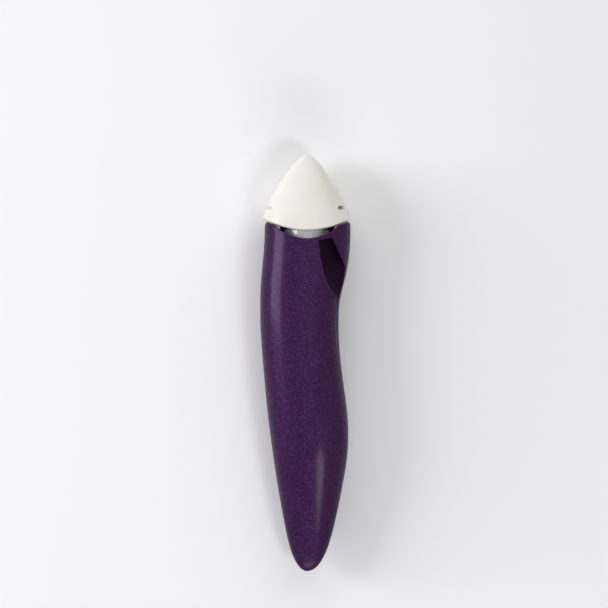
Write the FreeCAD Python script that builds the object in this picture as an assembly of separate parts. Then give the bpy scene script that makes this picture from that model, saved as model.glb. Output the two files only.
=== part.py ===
"""Chalk wheel marker: a hand tool that rolls a thin line of chalk powder onto cloth.

A hollow handle in two shells guides a pull-out cartridge. The cartridge is a clear tube of
chalk powder, closed by an end plug, with a white nose in its mouth that carries a toothed
wheel on a headed axle. A cap clicks over the nose.

Everything is built about the cartridge's axis: +Y runs towards the cap's tip, +X to the
right and +Z out of the front. Y is 0 at the lowest point of the seat, the arc on which the
cap, the nose and the handle's mouth meet. The finished pieces are then moved so that the
origin is near the middle of the small flat that the handle lies on. Lengths are millimetres.
"""
import FreeCAD, Part
import math
import os

from FreeCAD import Vector

# Cartridge: tube, plug and powder
TUBE_RADIUS = 7.2
TUBE_WALL = 1.1
TUBE_LENGTH = 55.0
TUBE_GUIDE_GAP = 0.10
PRESS_GAP = 0.02
PLUG_FLANGE = 1.5
PLUG_DEPTH = 4.0
POWDER_LENGTH = 7.0
POWDER_DOME = 3.3
POWDER_GAP = 0.05

# Seat arc shared by cap, nose, tube mouth and handle mouth
SEAT_RADIUS = 22.4
SEAT_GAP = 0.35

# Cap
CAP_HALF_WIDTH = 11.7
CAP_HALF_DEPTH = 8.5
CAP_RISE = 16.6
CAP_WALL = 1.1
CAP_TIP_SPAN = 3.2
CAP_FULLNESS = 0.68
CAP_SIDE_HANDLE = (0.785, 0.434)
CAP_DEPTH_HANDLE = (0.95, 0.55)
NOSE_GAP = 0.30
SLOT_RISE = 2.6
SLOT_HEIGHT = 1.0
SLOT_SLANT = 14.0
SLOT_REACH_LEFT = 1.5
SLOT_REACH_RIGHT = 2.6
LEAD_IN_DEPTH = 0.30
LEAD_IN_HALF_HEIGHT = 3.6
LEAD_IN_OVERRUN = 0.25

# Nose
NOSE_RISE = 9.4
NOSE_TIP_SPAN = 4.6
NOSE_FULLNESS = 0.74
NOSE_TIP_BACK = 2.6
NOSE_LOW_FACE = 1.0
NOSE_SIDE_HANDLE = (0.64, 0.57)
NOSE_FRONT_DIP = 0.43
NOSE_FRONT_HANDLE = (0.98, 0.23)
NOSE_BACK_TIP_HANDLE = (0.75, 0.95)
NOSE_BACK_HANDLE = (0.98, 0.55)
STEM_LENGTH = 6.5
STEM_FIT = 0.02
FEED_RADIUS = 3.4
FEED_OUTLET_RADIUS = 0.55
FEED_FUNNEL = 2.4
FEED_WALL = 0.60
BUMP_HALF_HEIGHT = 3.0
BUMP_RADIUS = 0.40
BUMP_GAP = 0.06

# Wheel and axle
WHEEL_RADIUS = 4.45
WHEEL_EDGE = 0.30
WHEEL_THICKNESS = 0.80
WHEEL_TEETH = 44
TOOTH_DEPTH = 0.42
WHEEL_BEVEL = 0.60
WHEEL_POCKET_GAP = 0.35
WHEEL_FACE_GAP = 0.30
WHEEL_OVERHANG = 1.05
AXLE_RADIUS = 0.75
AXLE_GAP = 0.05
AXLE_HEAD_RADIUS = 1.27
AXLE_HEAD = 0.55
AXLE_ROOT = 2.2
BOSS_MARGIN = 0.30

# Handle
HANDLE_WALL = 1.0
HANDLE_LENGTH = 89.5
TAIL_LENGTH = 34.5
SHOULDER_RISE = 2.75
RIM_ROUND = 1.4
HANDLE_FULLNESS = 0.64
LAND_DEPTH = 0.45
ORIGIN_BACK = 26.0
THUMB_NOTCH_RADIUS = 12.1
THUMB_NOTCH_DEPTH = 2.1
RIB_THICKNESS = 1.2
RIB_COUNT = 5
RIB_FIRST = 6.0
PIN_RADIUS = 0.90
PIN_LENGTH = 2.6
PIN_GAP = 0.05
PIN_END_GAP = 0.30
PIN_BOSS_WALL = 0.85
TAIL_PIN_SHARES = (0.25, 0.55)

# Finger scoop on the right of the front, measured back from the seat
SCOOP_TOP_LEFT = (0.0, -3.2)
SCOOP_TOP_RIGHT = (6.5, -1.9)
SCOOP_CORNER = (9.7, -8.8)
SCOOP_STEP = 0.12
SCOOP_HOLLOW = 0.05

FAR = 60.0

# How far the handle's outline lies outside the core that the cartridge needs, by share of the
# handle's length from the tail tip: left, right, front and back.
HANDLE_SWELL = (
    (0.000, -0.3, 1.8, -2.2, -2.6),
    (0.055, -0.4, 1.3, -2.2, -2.5),
    (0.125, -0.6, 1.1, -1.8, -1.9),
    (0.232, -0.2, 1.5, -0.9, -0.8),
    (0.370, 1.0, 2.5, 0.4, 0.3),
    (0.450, 1.9, 2.4, 0.8, 0.6),
    (0.550, 2.8, 1.3, 1.0, 0.75),
    (0.640, 3.5, 0.35, 1.1, 0.85),
    (0.740, 4.0, 0.0, 1.1, 0.85),
    (0.800, 4.0, 0.4, 1.0, 0.80),
    (0.870, 3.7, 1.9, 0.9, 0.75),
    (0.940, 3.1, 2.9, 0.8, 0.60),
    (1.050, 2.8, 3.1, 0.6, 0.40),
)

# The scoop's run: distance back from the seat, X of its crease, how deep the crease is cut in,
# X and Z of the foot of its floor. In the last row the floor has run out over the surface.
# The wall behind the scoop follows the deep rows alone.
SCOOP_RUN = (
    (1.0, 2.92, SCOOP_STEP, 22.0, 0.4),
    (4.5, 3.15, SCOOP_STEP, 16.0, 0.4),
    (9.0, 3.9, SCOOP_STEP, 11.9, 2.7),
    (13.8, 5.3, SCOOP_STEP, 10.1, 1.9),
    (17.4, 7.05, SCOOP_STEP, 8.9, 2.4),
    (23.5, 7.4, SCOOP_STEP, 8.9, 0.9),
    (29.0, 7.6, 0.0, 9.2, 0.3),
    (33.0, 7.8, -6 * SCOOP_STEP, 10.0, 0.2),
)
SCOOP_DEEP_ROWS = 6

# Sizes that follow from the ones above
TUBE_BORE = TUBE_RADIUS - TUBE_WALL
CORE = TUBE_RADIUS + TUBE_GUIDE_GAP + HANDLE_WALL
GUIDE_RADIUS = TUBE_RADIUS + TUBE_GUIDE_GAP
SEAT_CENTRE = Vector(0, SEAT_RADIUS, 0)
LAND_Z = -(CORE + LAND_DEPTH)
CAP_CORNER_Y = SEAT_RADIUS - math.sqrt(SEAT_RADIUS ** 2 - CAP_HALF_WIDTH ** 2)
NOSE_HALF_WIDTH = CAP_HALF_WIDTH - CAP_WALL - NOSE_GAP
NOSE_HALF_DEPTH = CAP_HALF_DEPTH - CAP_WALL - NOSE_GAP
NOSE_CORNER_Y = SEAT_RADIUS - math.sqrt(SEAT_RADIUS ** 2 - NOSE_HALF_WIDTH ** 2)
WHEEL_Y = NOSE_CORNER_Y + NOSE_RISE + WHEEL_OVERHANG - WHEEL_RADIUS
POCKET_FLOOR = -WHEEL_THICKNESS / 2 - WHEEL_FACE_GAP
FUNNEL_TOP = WHEEL_Y - WHEEL_RADIUS - WHEEL_POCKET_GAP - FEED_WALL
FUNNEL_THROAT = FUNNEL_TOP - FEED_FUNNEL
BUMP_Y = CAP_CORNER_Y + SLOT_RISE


# ---------------------------------------------------------------- curves and sections

def bezier(control, share):
    """The point at a share of the way along a plane cubic Bezier."""
    rest = 1 - share
    weights = (rest ** 3, 3 * rest ** 2 * share, 3 * rest * share ** 2, share ** 3)
    return (
        sum(weight * point[0] for weight, point in zip(weights, control)),
        sum(weight * point[1] for weight, point in zip(weights, control)),
    )


def half_width_at(outline, height):
    """Half-width at a height of one side outline, a cubic Bezier from the tip to the corner.

    Below the corner the side goes straight on."""
    corner_handle, corner = outline[2], outline[3]
    if height <= corner[1]:
        slope = (corner[0] - corner_handle[0]) / (corner_handle[1] - corner[1])
        return corner[0] + slope * (corner[1] - height)
    low, high = 0.0, 1.0
    for _ in range(40):
        share = (low + high) / 2
        if bezier(outline, share)[1] > height:
            low = share
        else:
            high = share
    return bezier(outline, low)[0]


def ring(y, left, right, front, back, fullness):
    """A closed section across the axis: four quarter curves, each with its own reach.

    A fullness of 0.55 gives quarter ellipses and a higher one squarer corners."""
    middle = Vector(0, y, 0)
    tops = (Vector(right, y, 0), Vector(0, y, front), Vector(-left, y, 0), Vector(0, y, -back))
    edges = []
    for start, end in zip(tops, tops[1:] + tops[:1]):
        leaving = start + (end - middle) * fullness
        arriving = end + (start - middle) * fullness
        curve = Part.BezierCurve()
        curve.setPoles([start, leaving, arriving, end])
        edges.append(curve.toShape())
    return Part.Wire(edges)


def quarter_height(x, half_width, half_depth, fullness):
    """Height of such a quarter curve over a point x of its half-width."""
    quarter = (
        (0, half_depth),
        (half_width * fullness, half_depth),
        (half_width, half_depth * fullness),
        (half_width, 0),
    )
    low, high = 0.0, 1.0
    for _ in range(40):
        share = (low + high) / 2
        if bezier(quarter, share)[0] < x:
            low = share
        else:
            high = share
    return bezier(quarter, low)[1]


def smooth(stations, column):
    """A smooth function through one column of a table, by its first column."""
    keys = [row[0] for row in stations]
    curve = Part.BSplineCurve()
    points = [Vector(row[0], row[column], 0) for row in stations]
    curve.interpolate(Points=points, Parameters=keys)
    return lambda key: curve.value(min(max(key, keys[0]), keys[-1])).y


def along_y(radius, y_low, y_high):
    """A round bar on the cartridge's axis."""
    return Part.makeCylinder(radius, y_high - y_low, Vector(0, y_low, 0), Vector(0, 1, 0))


def upright(radius, x, y, z_low, z_high):
    """A round bar that stands along Z."""
    return Part.makeCylinder(radius, z_high - z_low, Vector(x, y, z_low), Vector(0, 0, 1))


def block(x_low, x_high, y_low, y_high, z_low, z_high):
    """A box between its limits."""
    return Part.makeBox(x_high - x_low, y_high - y_low, z_high - z_low, Vector(x_low, y_low, z_low))


def seat_drum(gap):
    """The upright drum whose wall is the seat arc, grown by a gap towards the tail."""
    return upright(SEAT_RADIUS + gap, SEAT_CENTRE.x, SEAT_CENTRE.y, -FAR, FAR)


def front_half():
    """Everything in front of the parting plane."""
    return block(-FAR, FAR, -2 * FAR, FAR, 0, FAR)


def back_half():
    """Everything behind the parting plane."""
    return block(-FAR, FAR, -2 * FAR, FAR, -FAR, 0)


# ---------------------------------------------------------------- cap and nose forms

def pillow(plan, front, back, fullness, y_corner, y_low):
    """A rounded-triangle pillow: full sections between three Bezier outlines."""
    rise = plan[0][1]
    heights = [y_low - y_corner, (y_low - y_corner) / 2, 0.0]
    heights += [rise * math.sin(math.radians(angle)) for angle in (20, 38, 54, 68, 79)]
    sections = []
    for height in heights:
        sections.append(ring(
            y_corner + height,
            half_width_at(plan, height),
            half_width_at(plan, height),
            half_width_at(front, height),
            half_width_at(back, height),
            fullness,
        ))
    sections.append(Part.Vertex(0, y_corner + rise, 0))
    return Part.makeLoft(sections, True, False)


def cap_outline(half, handle, inset, handle_inset):
    """Side or depth outline of the cap, moved inwards by an inset.

    The handle gives the lower control point as shares of the half-size and the rise. It moves
    by its own shares of the inset, so that the wall stays even."""
    rise = CAP_RISE - inset
    return (
        (0, rise),
        (CAP_TIP_SPAN - 0.55 * inset, rise),
        (handle[0] * half - handle_inset[0] * inset, handle[1] * CAP_RISE - handle_inset[1] * inset),
        (half - inset, 0),
    )


def cap_plan_outline(inset):
    """Side outline of the cap, seen from the front."""
    return cap_outline(CAP_HALF_WIDTH, CAP_SIDE_HANDLE, inset, (0.85, 0.4))


def cap_depth_outline(inset):
    """Depth outline of the cap: fuller than the plan, so that the tip stays blunt."""
    return cap_outline(CAP_HALF_DEPTH, CAP_DEPTH_HANDLE, inset, (1.0, 0.3))


def cap_form(inset, y_low):
    """The cap's pillow from a low end to its tip, moved inwards by an inset."""
    depth = cap_depth_outline(inset)
    return pillow(cap_plan_outline(inset), depth, depth, CAP_FULLNESS, CAP_CORNER_Y, y_low)


def cap_inner_half_width(y):
    """Half-width inside the cap at a height over the seat."""
    return half_width_at(cap_plan_outline(CAP_WALL), y - CAP_CORNER_Y)


def protective_cap():
    """The cap: a pillow shell cut on the seat arc, with a slot and a lead-in at each side."""
    outer = cap_form(0.0, -1.0)
    inner = cap_form(CAP_WALL, -1.5)
    shell = outer.cut(inner).common(seat_drum(0.0))
    for side, reach in ((-1, SLOT_REACH_LEFT), (1, SLOT_REACH_RIGHT)):
        edge = half_width_at(cap_plan_outline(0.0), SLOT_RISE)
        slot = slot_tool(side, edge - reach, SLOT_HEIGHT)
        shell = shell.cut(slot)
        shell = shell.cut(lead_in_tool(side))
    return shell


def slot_tool(side, x_inner, height):
    """A slanted slot with a round inner end, running out through one side of the cap."""
    end = upright(height / 2, 0, 0, -FAR, FAR)
    run = block(0, FAR, -height / 2, height / 2, -FAR, FAR)
    tool = end.fuse(run)
    tool.rotate(Vector(0, 0, 0), Vector(0, 0, 1), SLOT_SLANT)
    if side < 0:
        tool = tool.mirror(Vector(0, 0, 0), Vector(1, 0, 0))
    tool.translate(Vector(side * (x_inner + height / 2), BUMP_Y, 0))
    return tool


def lead_in_tool(side):
    """The shallow ramp inside the cap's side, from under the rim to just past the bead."""
    stations = (-CAP_CORNER_Y, CAP_CORNER_Y, BUMP_Y, BUMP_Y + BUMP_RADIUS + LEAD_IN_OVERRUN)
    wires = []
    for y in stations:
        x = side * (cap_inner_half_width(y) + LEAD_IN_DEPTH)
        wires.append(Part.makePolygon([
            Vector(x, y, -LEAD_IN_HALF_HEIGHT),
            Vector(x, y, LEAD_IN_HALF_HEIGHT),
            Vector(0, y, LEAD_IN_HALF_HEIGHT),
            Vector(0, y, -LEAD_IN_HALF_HEIGHT),
            Vector(x, y, -LEAD_IN_HALF_HEIGHT),
        ]))
    return Part.makeLoft(wires, True, True)


def nose_outline():
    """Side outline of the nose: nearly straight sides that round into a broad tip."""
    return (
        (0, NOSE_RISE),
        (NOSE_TIP_SPAN, NOSE_RISE),
        (NOSE_SIDE_HANDLE[0] * NOSE_HALF_WIDTH, NOSE_SIDE_HANDLE[1] * NOSE_RISE),
        (NOSE_HALF_WIDTH, 0),
    )


def nose_front_outline():
    """The front falls from the full depth at the seat to a low face round the wheel."""
    low_face = WHEEL_THICKNESS / 2 + NOSE_LOW_FACE
    return (
        (low_face, NOSE_RISE),
        (low_face, NOSE_FRONT_DIP * NOSE_RISE),
        (NOSE_FRONT_HANDLE[0] * NOSE_HALF_DEPTH, NOSE_FRONT_HANDLE[1] * NOSE_RISE),
        (NOSE_HALF_DEPTH, 0),
    )


def nose_back_outline():
    """The back keeps its depth for longer, as the wheel's backing."""
    return (
        (NOSE_TIP_BACK, NOSE_RISE),
        (NOSE_BACK_TIP_HANDLE[0] * NOSE_HALF_DEPTH, NOSE_BACK_TIP_HANDLE[1] * NOSE_RISE),
        (NOSE_BACK_HANDLE[0] * NOSE_HALF_DEPTH, NOSE_BACK_HANDLE[1] * NOSE_RISE),
        (NOSE_HALF_DEPTH, 0),
    )


def nose_form():
    """The nose's outer form: a wedge with a rounded-triangle plan."""
    plan, front, back = nose_outline(), nose_front_outline(), nose_back_outline()
    heights = [-0.8 - NOSE_CORNER_Y, 0.0]
    heights += [NOSE_RISE * math.sin(math.radians(angle)) for angle in (18, 34, 50, 65, 78, 87)]
    sections = []
    for height in heights:
        half = half_width_at(plan, height)
        sections.append(ring(
            NOSE_CORNER_Y + height,
            half,
            half,
            half_width_at(front, height),
            half_width_at(back, height),
            NOSE_FULLNESS,
        ))
    return Part.makeLoft(sections, True, False)


def snap_bump(side):
    """A small upright bead on the nose's side, that clicks into the cap's slot."""
    tip = cap_inner_half_width(BUMP_Y) + LEAD_IN_DEPTH - BUMP_GAP
    bead = upright(BUMP_RADIUS, side * (tip - BUMP_RADIUS), BUMP_Y, -BUMP_HALF_HEIGHT, BUMP_HALF_HEIGHT)
    x_low, x_high = sorted((side * (tip - BUMP_RADIUS), side * 0.6 * tip))
    web = block(x_low, x_high, BUMP_Y - BUMP_RADIUS, BUMP_Y + BUMP_RADIUS, -BUMP_HALF_HEIGHT, BUMP_HALF_HEIGHT)
    return bead.fuse(web)


def nose_housing():
    """The white nose: wedge, stem in the tube, feed funnel, wheel pocket, axle bore and bumps."""
    body = nose_form().common(seat_drum(0.0))
    stem_radius = TUBE_BORE - STEM_FIT
    stem = along_y(stem_radius, -STEM_LENGTH, 1.0)
    body = body.fuse(stem)
    for side in (-1, 1):
        body = body.fuse(snap_bump(side))
    pocket_radius = WHEEL_RADIUS + WHEEL_POCKET_GAP
    body = body.cut(upright(pocket_radius, 0, WHEEL_Y, POCKET_FLOOR, FAR))
    boss_radius = AXLE_HEAD_RADIUS + BOSS_MARGIN
    boss_top = -WHEEL_THICKNESS / 2 - PRESS_GAP
    body = body.fuse(upright(boss_radius, 0, WHEEL_Y, POCKET_FLOOR, boss_top))
    body = body.cut(upright(AXLE_RADIUS + PRESS_GAP, 0, WHEEL_Y, POCKET_FLOOR - AXLE_ROOT, FAR))
    body = body.cut(along_y(FEED_RADIUS, -STEM_LENGTH - 1, FUNNEL_THROAT))
    body = body.cut(Part.makeCone(
        FEED_RADIUS, FEED_OUTLET_RADIUS, FEED_FUNNEL, Vector(0, FUNNEL_THROAT, 0), Vector(0, 1, 0)))
    body = body.cut(along_y(FEED_OUTLET_RADIUS, FUNNEL_TOP - FEED_OUTLET_RADIUS, FUNNEL_TOP + 2 * FEED_WALL))
    return body.removeSplitter()


# ---------------------------------------------------------------- wheel, axle and tube

def toothed_wheel():
    """A thin disc, bevelled to its rim and cut into fine pointed teeth."""
    bore = AXLE_RADIUS + AXLE_GAP
    half = WHEEL_THICKNESS / 2
    root = WHEEL_RADIUS - TOOTH_DEPTH
    profile = Part.makePolygon([
        Vector(bore, 0, -half),
        Vector(root - WHEEL_BEVEL, 0, -half),
        Vector(WHEEL_RADIUS, 0, -WHEEL_EDGE / 2),
        Vector(WHEEL_RADIUS, 0, WHEEL_EDGE / 2),
        Vector(root - WHEEL_BEVEL, 0, half),
        Vector(bore, 0, half),
        Vector(bore, 0, -half),
    ])
    disc = Part.Face(profile).revolve(Vector(0, 0, 0), Vector(0, 0, 1), 360)
    star = []
    for step in range(2 * WHEEL_TEETH):
        radius = WHEEL_RADIUS if step % 2 == 0 else root
        angle = math.pi * step / WHEEL_TEETH
        star.append(Vector(radius * math.cos(angle), radius * math.sin(angle), -half - 1))
    star.append(star[0])
    teeth = Part.Face(Part.makePolygon(star)).extrude(Vector(0, 0, WHEEL_THICKNESS + 2))
    wheel = disc.common(teeth)
    wheel.translate(Vector(0, WHEEL_Y, 0))
    return wheel


def wheel_axle():
    """A headed pin, pressed into the nose from the front, with a rounded head."""
    head_base = WHEEL_THICKNESS / 2 + AXLE_GAP
    head_top = head_base + AXLE_HEAD
    root = POCKET_FLOOR - AXLE_ROOT + PRESS_GAP
    shank = upright(AXLE_RADIUS, 0, WHEEL_Y, root, head_base)
    head = upright(AXLE_HEAD_RADIUS, 0, WHEEL_Y, head_base, head_top)
    rim = [edge for edge in head.Edges if abs(edge.BoundBox.ZMin - head_top) < 1e-6]
    head = head.makeFillet(0.7 * AXLE_HEAD, rim)
    return head.fuse(shank).removeSplitter()


def cartridge_tube():
    """The clear tube: its mouth is coped to the seat arc, so that it closes on the nose."""
    y_mouth = SEAT_RADIUS - math.sqrt(SEAT_RADIUS ** 2 - TUBE_RADIUS ** 2)
    wall = along_y(TUBE_RADIUS, -TUBE_LENGTH, y_mouth + 1)
    wall = wall.cut(along_y(TUBE_BORE, -TUBE_LENGTH - 1, y_mouth + 2))
    return wall.cut(seat_drum(PRESS_GAP))


def cartridge_end_plug():
    """The plug that closes the tube's far end, hollowed like a moulded stopper."""
    y_end = -TUBE_LENGTH
    flange = along_y(TUBE_RADIUS, y_end - PLUG_FLANGE, y_end)
    spigot = along_y(TUBE_BORE - PRESS_GAP, y_end, y_end + PLUG_DEPTH)
    hollow = along_y(TUBE_BORE - TUBE_WALL - PRESS_GAP, y_end, y_end + PLUG_DEPTH + 1)
    plug = flange.fuse(spigot).cut(hollow)
    rim = [edge for edge in plug.Edges if abs(edge.BoundBox.YMax - (y_end - PLUG_FLANGE)) < 1e-6]
    return plug.makeFillet(0.35 * PLUG_FLANGE, rim).removeSplitter()


def chalk_fill():
    """The powder behind the stem and inside the feed bore, with a domed far end."""
    radius = TUBE_BORE - POWDER_GAP
    y_stem = -STEM_LENGTH - POWDER_GAP
    y_back = y_stem - POWDER_LENGTH
    sphere_radius = (radius ** 2 + POWDER_DOME ** 2) / (2 * POWDER_DOME)
    body = along_y(radius, y_back, y_stem)
    dome = Part.makeSphere(sphere_radius, Vector(0, y_back + sphere_radius, 0))
    body = body.common(dome.fuse(along_y(radius, y_back + POWDER_DOME, y_stem + 1)))
    core = along_y(FEED_RADIUS - POWDER_GAP, y_stem - 1, FUNNEL_THROAT - POWDER_GAP)
    return body.fuse(core).removeSplitter()


# ---------------------------------------------------------------- handle

SWELL = [smooth(HANDLE_SWELL, column) for column in (1, 2, 3, 4)]


def handle_reaches(station, inset):
    """Left, right, front and back reach of the handle at a distance from its tail tip."""
    share = station / HANDLE_LENGTH
    behind = 1 - min(station, TAIL_LENGTH) / TAIL_LENGTH
    closing = math.sqrt(1 - behind ** 2)
    past_rim = max(0.0, station - (HANDLE_LENGTH + SHOULDER_RISE - RIM_ROUND))
    rolled = RIM_ROUND - math.sqrt(max(RIM_ROUND ** 2 - past_rim ** 2, 0.0))
    return [(CORE + swell(share)) * closing - rolled - inset for swell in SWELL]


def handle_form(inset, first_angle):
    """The handle's rounded form, closed at the tail, or the same form moved inwards."""
    tail_angles = [angle for angle in (14, 30, 48, 68) if angle >= first_angle]
    stations = [TAIL_LENGTH * (1 - math.cos(math.radians(angle))) for angle in tail_angles]
    barrel = HANDLE_LENGTH + SHOULDER_RISE - RIM_ROUND - TAIL_LENGTH
    stations += [TAIL_LENGTH + barrel * step / 6 for step in range(7)]
    stations += [TAIL_LENGTH + barrel + RIM_ROUND * math.sin(math.radians(angle)) for angle in (45, 82)]
    sections = []
    if inset == 0:
        sections.append(Part.Vertex(0, -HANDLE_LENGTH, 0))
    for station in stations:
        reaches = handle_reaches(station, inset)
        sections.append(ring(station - HANDLE_LENGTH, *reaches, HANDLE_FULLNESS))
    return Part.makeLoft(sections, True, False)


def scoop_tool(inset):
    """The finger scoop's cutter: a hollow floor swept from a crease on the front to the side.

    An inset moves the floor inwards for the wall behind it."""
    run = SCOOP_RUN if inset == 0 else SCOOP_RUN[:SCOOP_DEEP_ROWS]
    sections = []
    for back, crease_x, step, foot_x, foot_z in run:
        y = -back
        _, right, front, _ = handle_reaches(HANDLE_LENGTH - back, 0.0)
        crease_z = quarter_height(crease_x, right, front, HANDLE_FULLNESS) - step
        crease = Vector(crease_x - inset, y, crease_z - inset)
        foot = Vector(foot_x - inset, y, foot_z - inset)
        middle = (crease + foot) / 2
        inward = Vector(-(crease.z - foot.z), 0, -(foot.x - crease.x))
        floor = Part.Arc(crease, middle + inward * SCOOP_HOLLOW, foot).toShape()
        sides = Part.makePolygon([
            foot,
            Vector(FAR, y, foot.z),
            Vector(FAR, y, FAR),
            Vector(crease.x, y, FAR),
            crease,
        ])
        sections.append(Part.Wire([floor] + sides.Edges))
    sweep = Part.makeLoft(sections, True, False)
    return sweep.common(scoop_fence(inset))


def scoop_fence(inset):
    """The upright fence of the scoop: its top edge and the straight edge down its right."""
    top_left = Vector(SCOOP_TOP_LEFT[0] - inset, SCOOP_TOP_LEFT[1] + inset, -FAR)
    top_right = Vector(SCOOP_TOP_RIGHT[0], SCOOP_TOP_RIGHT[1] + inset, -FAR)
    corner = Vector(SCOOP_CORNER[0], SCOOP_CORNER[1] + inset, -FAR)
    run = corner - top_right
    outer = corner + run * 2
    outline = Part.makePolygon([
        top_left,
        top_right,
        outer,
        Vector(outer.x, -2 * FAR, -FAR),
        Vector(top_left.x, -2 * FAR, -FAR),
        top_left,
    ])
    return Part.Face(outline).extrude(Vector(0, 0, 2 * FAR))


def pin_places():
    """X and Y of the locating pins: two beside the tube on the wide left, two in the tail."""
    left = -(GUIDE_RADIUS + PIN_RADIUS + PIN_GAP + PIN_BOSS_WALL)
    tail = -TUBE_LENGTH - PLUG_FLANGE
    rib = rib_stations()
    return (
        (left, (rib[1] + rib[2]) / 2),
        (left, (rib[2] + rib[3]) / 2),
        *((0.0, tail - share * TAIL_LENGTH) for share in TAIL_PIN_SHARES),
    )


def rib_stations():
    """Y of the ribs that guide the tube, evenly spaced from the mouth to the plug."""
    last = -TUBE_LENGTH + PLUG_DEPTH
    step = (last + RIB_FIRST) / (RIB_COUNT - 1)
    return [-RIB_FIRST + step * index for index in range(RIB_COUNT)]


def handle_hollow():
    """The space inside the handle: an even wall, less the guide ribs and the pin bosses."""
    hollow = handle_form(HANDLE_WALL, 30).cut(scoop_tool(HANDLE_WALL))
    for y in rib_stations():
        hollow = hollow.cut(block(-FAR, FAR, y - RIB_THICKNESS / 2, y + RIB_THICKNESS / 2, -FAR, FAR))
    boss_radius = PIN_RADIUS + PIN_GAP + PIN_BOSS_WALL
    for x, y in pin_places():
        hollow = hollow.cut(upright(boss_radius, x, y, -FAR, FAR))
    stop_y = -TUBE_LENGTH - PLUG_FLANGE
    hollow = hollow.cut(block(-FAR, FAR, stop_y - RIB_THICKNESS, stop_y, -FAR, FAR))
    return hollow.fuse(along_y(GUIDE_RADIUS, stop_y, FAR))


def handle_body():
    """The handle as one form: hollow, coped to the seat arc, notched, scooped and with its flat."""
    body = handle_form(0.0, 0).cut(handle_hollow())
    body = body.cut(seat_drum(SEAT_GAP))
    notch_y = -THUMB_NOTCH_DEPTH + THUMB_NOTCH_RADIUS
    body = body.cut(upright(THUMB_NOTCH_RADIUS, 0, notch_y, -FAR, FAR))
    body = body.cut(scoop_tool(0.0))
    return body.cut(block(-FAR, FAR, -2 * FAR, FAR, -FAR, LAND_Z))


def handle_shells():
    """The two shells, parted on the cartridge's axis: sockets in front, pins behind."""
    body = handle_body()
    front = body.common(front_half())
    back = body.common(back_half())
    for x, y in pin_places():
        front = front.cut(upright(PIN_RADIUS + PIN_GAP, x, y, -1, PIN_LENGTH + PIN_END_GAP))
        back = back.fuse(upright(PIN_RADIUS, x, y, -1, PIN_LENGTH))
    return front.removeSplitter(), back.removeSplitter()


def main():
    """Build every piece, move it to the row's frame and write it."""
    front, back = handle_shells()
    pieces = {
        "handle_front_shell": front,
        "handle_back_shell": back,
        "cartridge_tube": cartridge_tube(),
        "cartridge_end_plug": cartridge_end_plug(),
        "chalk_fill": chalk_fill(),
        "nose_housing": nose_housing(),
        "toothed_wheel": toothed_wheel(),
        "wheel_axle": wheel_axle(),
        "protective_cap": protective_cap(),
    }
    to_frame = Vector(0, ORIGIN_BACK, -LAND_Z)
    os.makedirs("parts", exist_ok=True)
    for name, shape in pieces.items():
        shape.translate(to_frame)
        shape.exportStep(os.path.join("parts", name + ".step"))
        box = shape.BoundBox
        print(name, shape.isValid(), len(shape.Solids), round(shape.Volume, 2),
              [round(v, 2) for v in (box.XMin, box.XMax, box.YMin, box.YMax, box.ZMin, box.ZMax)])


main()
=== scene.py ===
"""Chalk wheel marker, dressed for rendering: two pearl plastic handle shells, a clear chalk
cartridge with its white nose and toothed wheel, and a glossy white cap.

Lengths are millimetres in the marker's own frame: Y runs along the cartridge towards the cap's
tip and is 0 at the lowest point of the seat arc, X is to the right, Z is out of the front and is
0 on the cartridge's axis. Datum.place turns them into the frame's metres."""
import logging
import math
from dataclasses import dataclass
from enum import Enum
from typing import Callable, Optional, Union

import bmesh
import bpy
import numpy as np
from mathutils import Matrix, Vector


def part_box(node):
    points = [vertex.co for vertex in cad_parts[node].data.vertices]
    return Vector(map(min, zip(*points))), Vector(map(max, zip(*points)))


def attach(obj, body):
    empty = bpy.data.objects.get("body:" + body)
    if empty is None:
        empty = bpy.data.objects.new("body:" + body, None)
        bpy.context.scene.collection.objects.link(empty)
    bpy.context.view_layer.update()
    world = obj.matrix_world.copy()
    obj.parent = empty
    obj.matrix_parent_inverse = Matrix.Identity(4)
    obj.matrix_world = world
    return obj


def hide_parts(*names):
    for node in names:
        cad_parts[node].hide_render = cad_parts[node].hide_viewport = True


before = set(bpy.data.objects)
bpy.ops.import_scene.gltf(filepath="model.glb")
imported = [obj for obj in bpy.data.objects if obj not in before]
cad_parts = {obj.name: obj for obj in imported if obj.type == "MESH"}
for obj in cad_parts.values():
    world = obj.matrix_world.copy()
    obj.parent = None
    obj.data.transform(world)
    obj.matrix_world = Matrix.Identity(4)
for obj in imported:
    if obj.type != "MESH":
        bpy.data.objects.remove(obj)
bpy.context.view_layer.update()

logging.basicConfig(level=logging.INFO, format="%(message)s")
log = logging.getLogger("chalk_wheel_marker")

MM = 0.001
Array = np.ndarray


# ---------------- datum and plain curves

@dataclass(frozen=True)
class Datum:
    """Where the marker's own zero lies in the frame, in millimetres."""

    seat_y: float
    axis_z: float

    @classmethod
    def from_tube(cls, tube_length: float) -> "Datum":
        """Read the datum from the tube's box, whose low end lies a tube length behind the seat.

        Args:
            tube_length: length of the tube behind the seat.

        Returns:
            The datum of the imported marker.
        """
        low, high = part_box("cartridge_tube")
        return cls(seat_y=low.y / MM + tube_length, axis_z=(low.z + high.z) / 2 / MM)

    def place(self, points: Array) -> Array:
        """Move points from the marker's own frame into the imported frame, in metres."""
        return (points + np.array([0.0, self.seat_y, self.axis_z])) * MM


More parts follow.
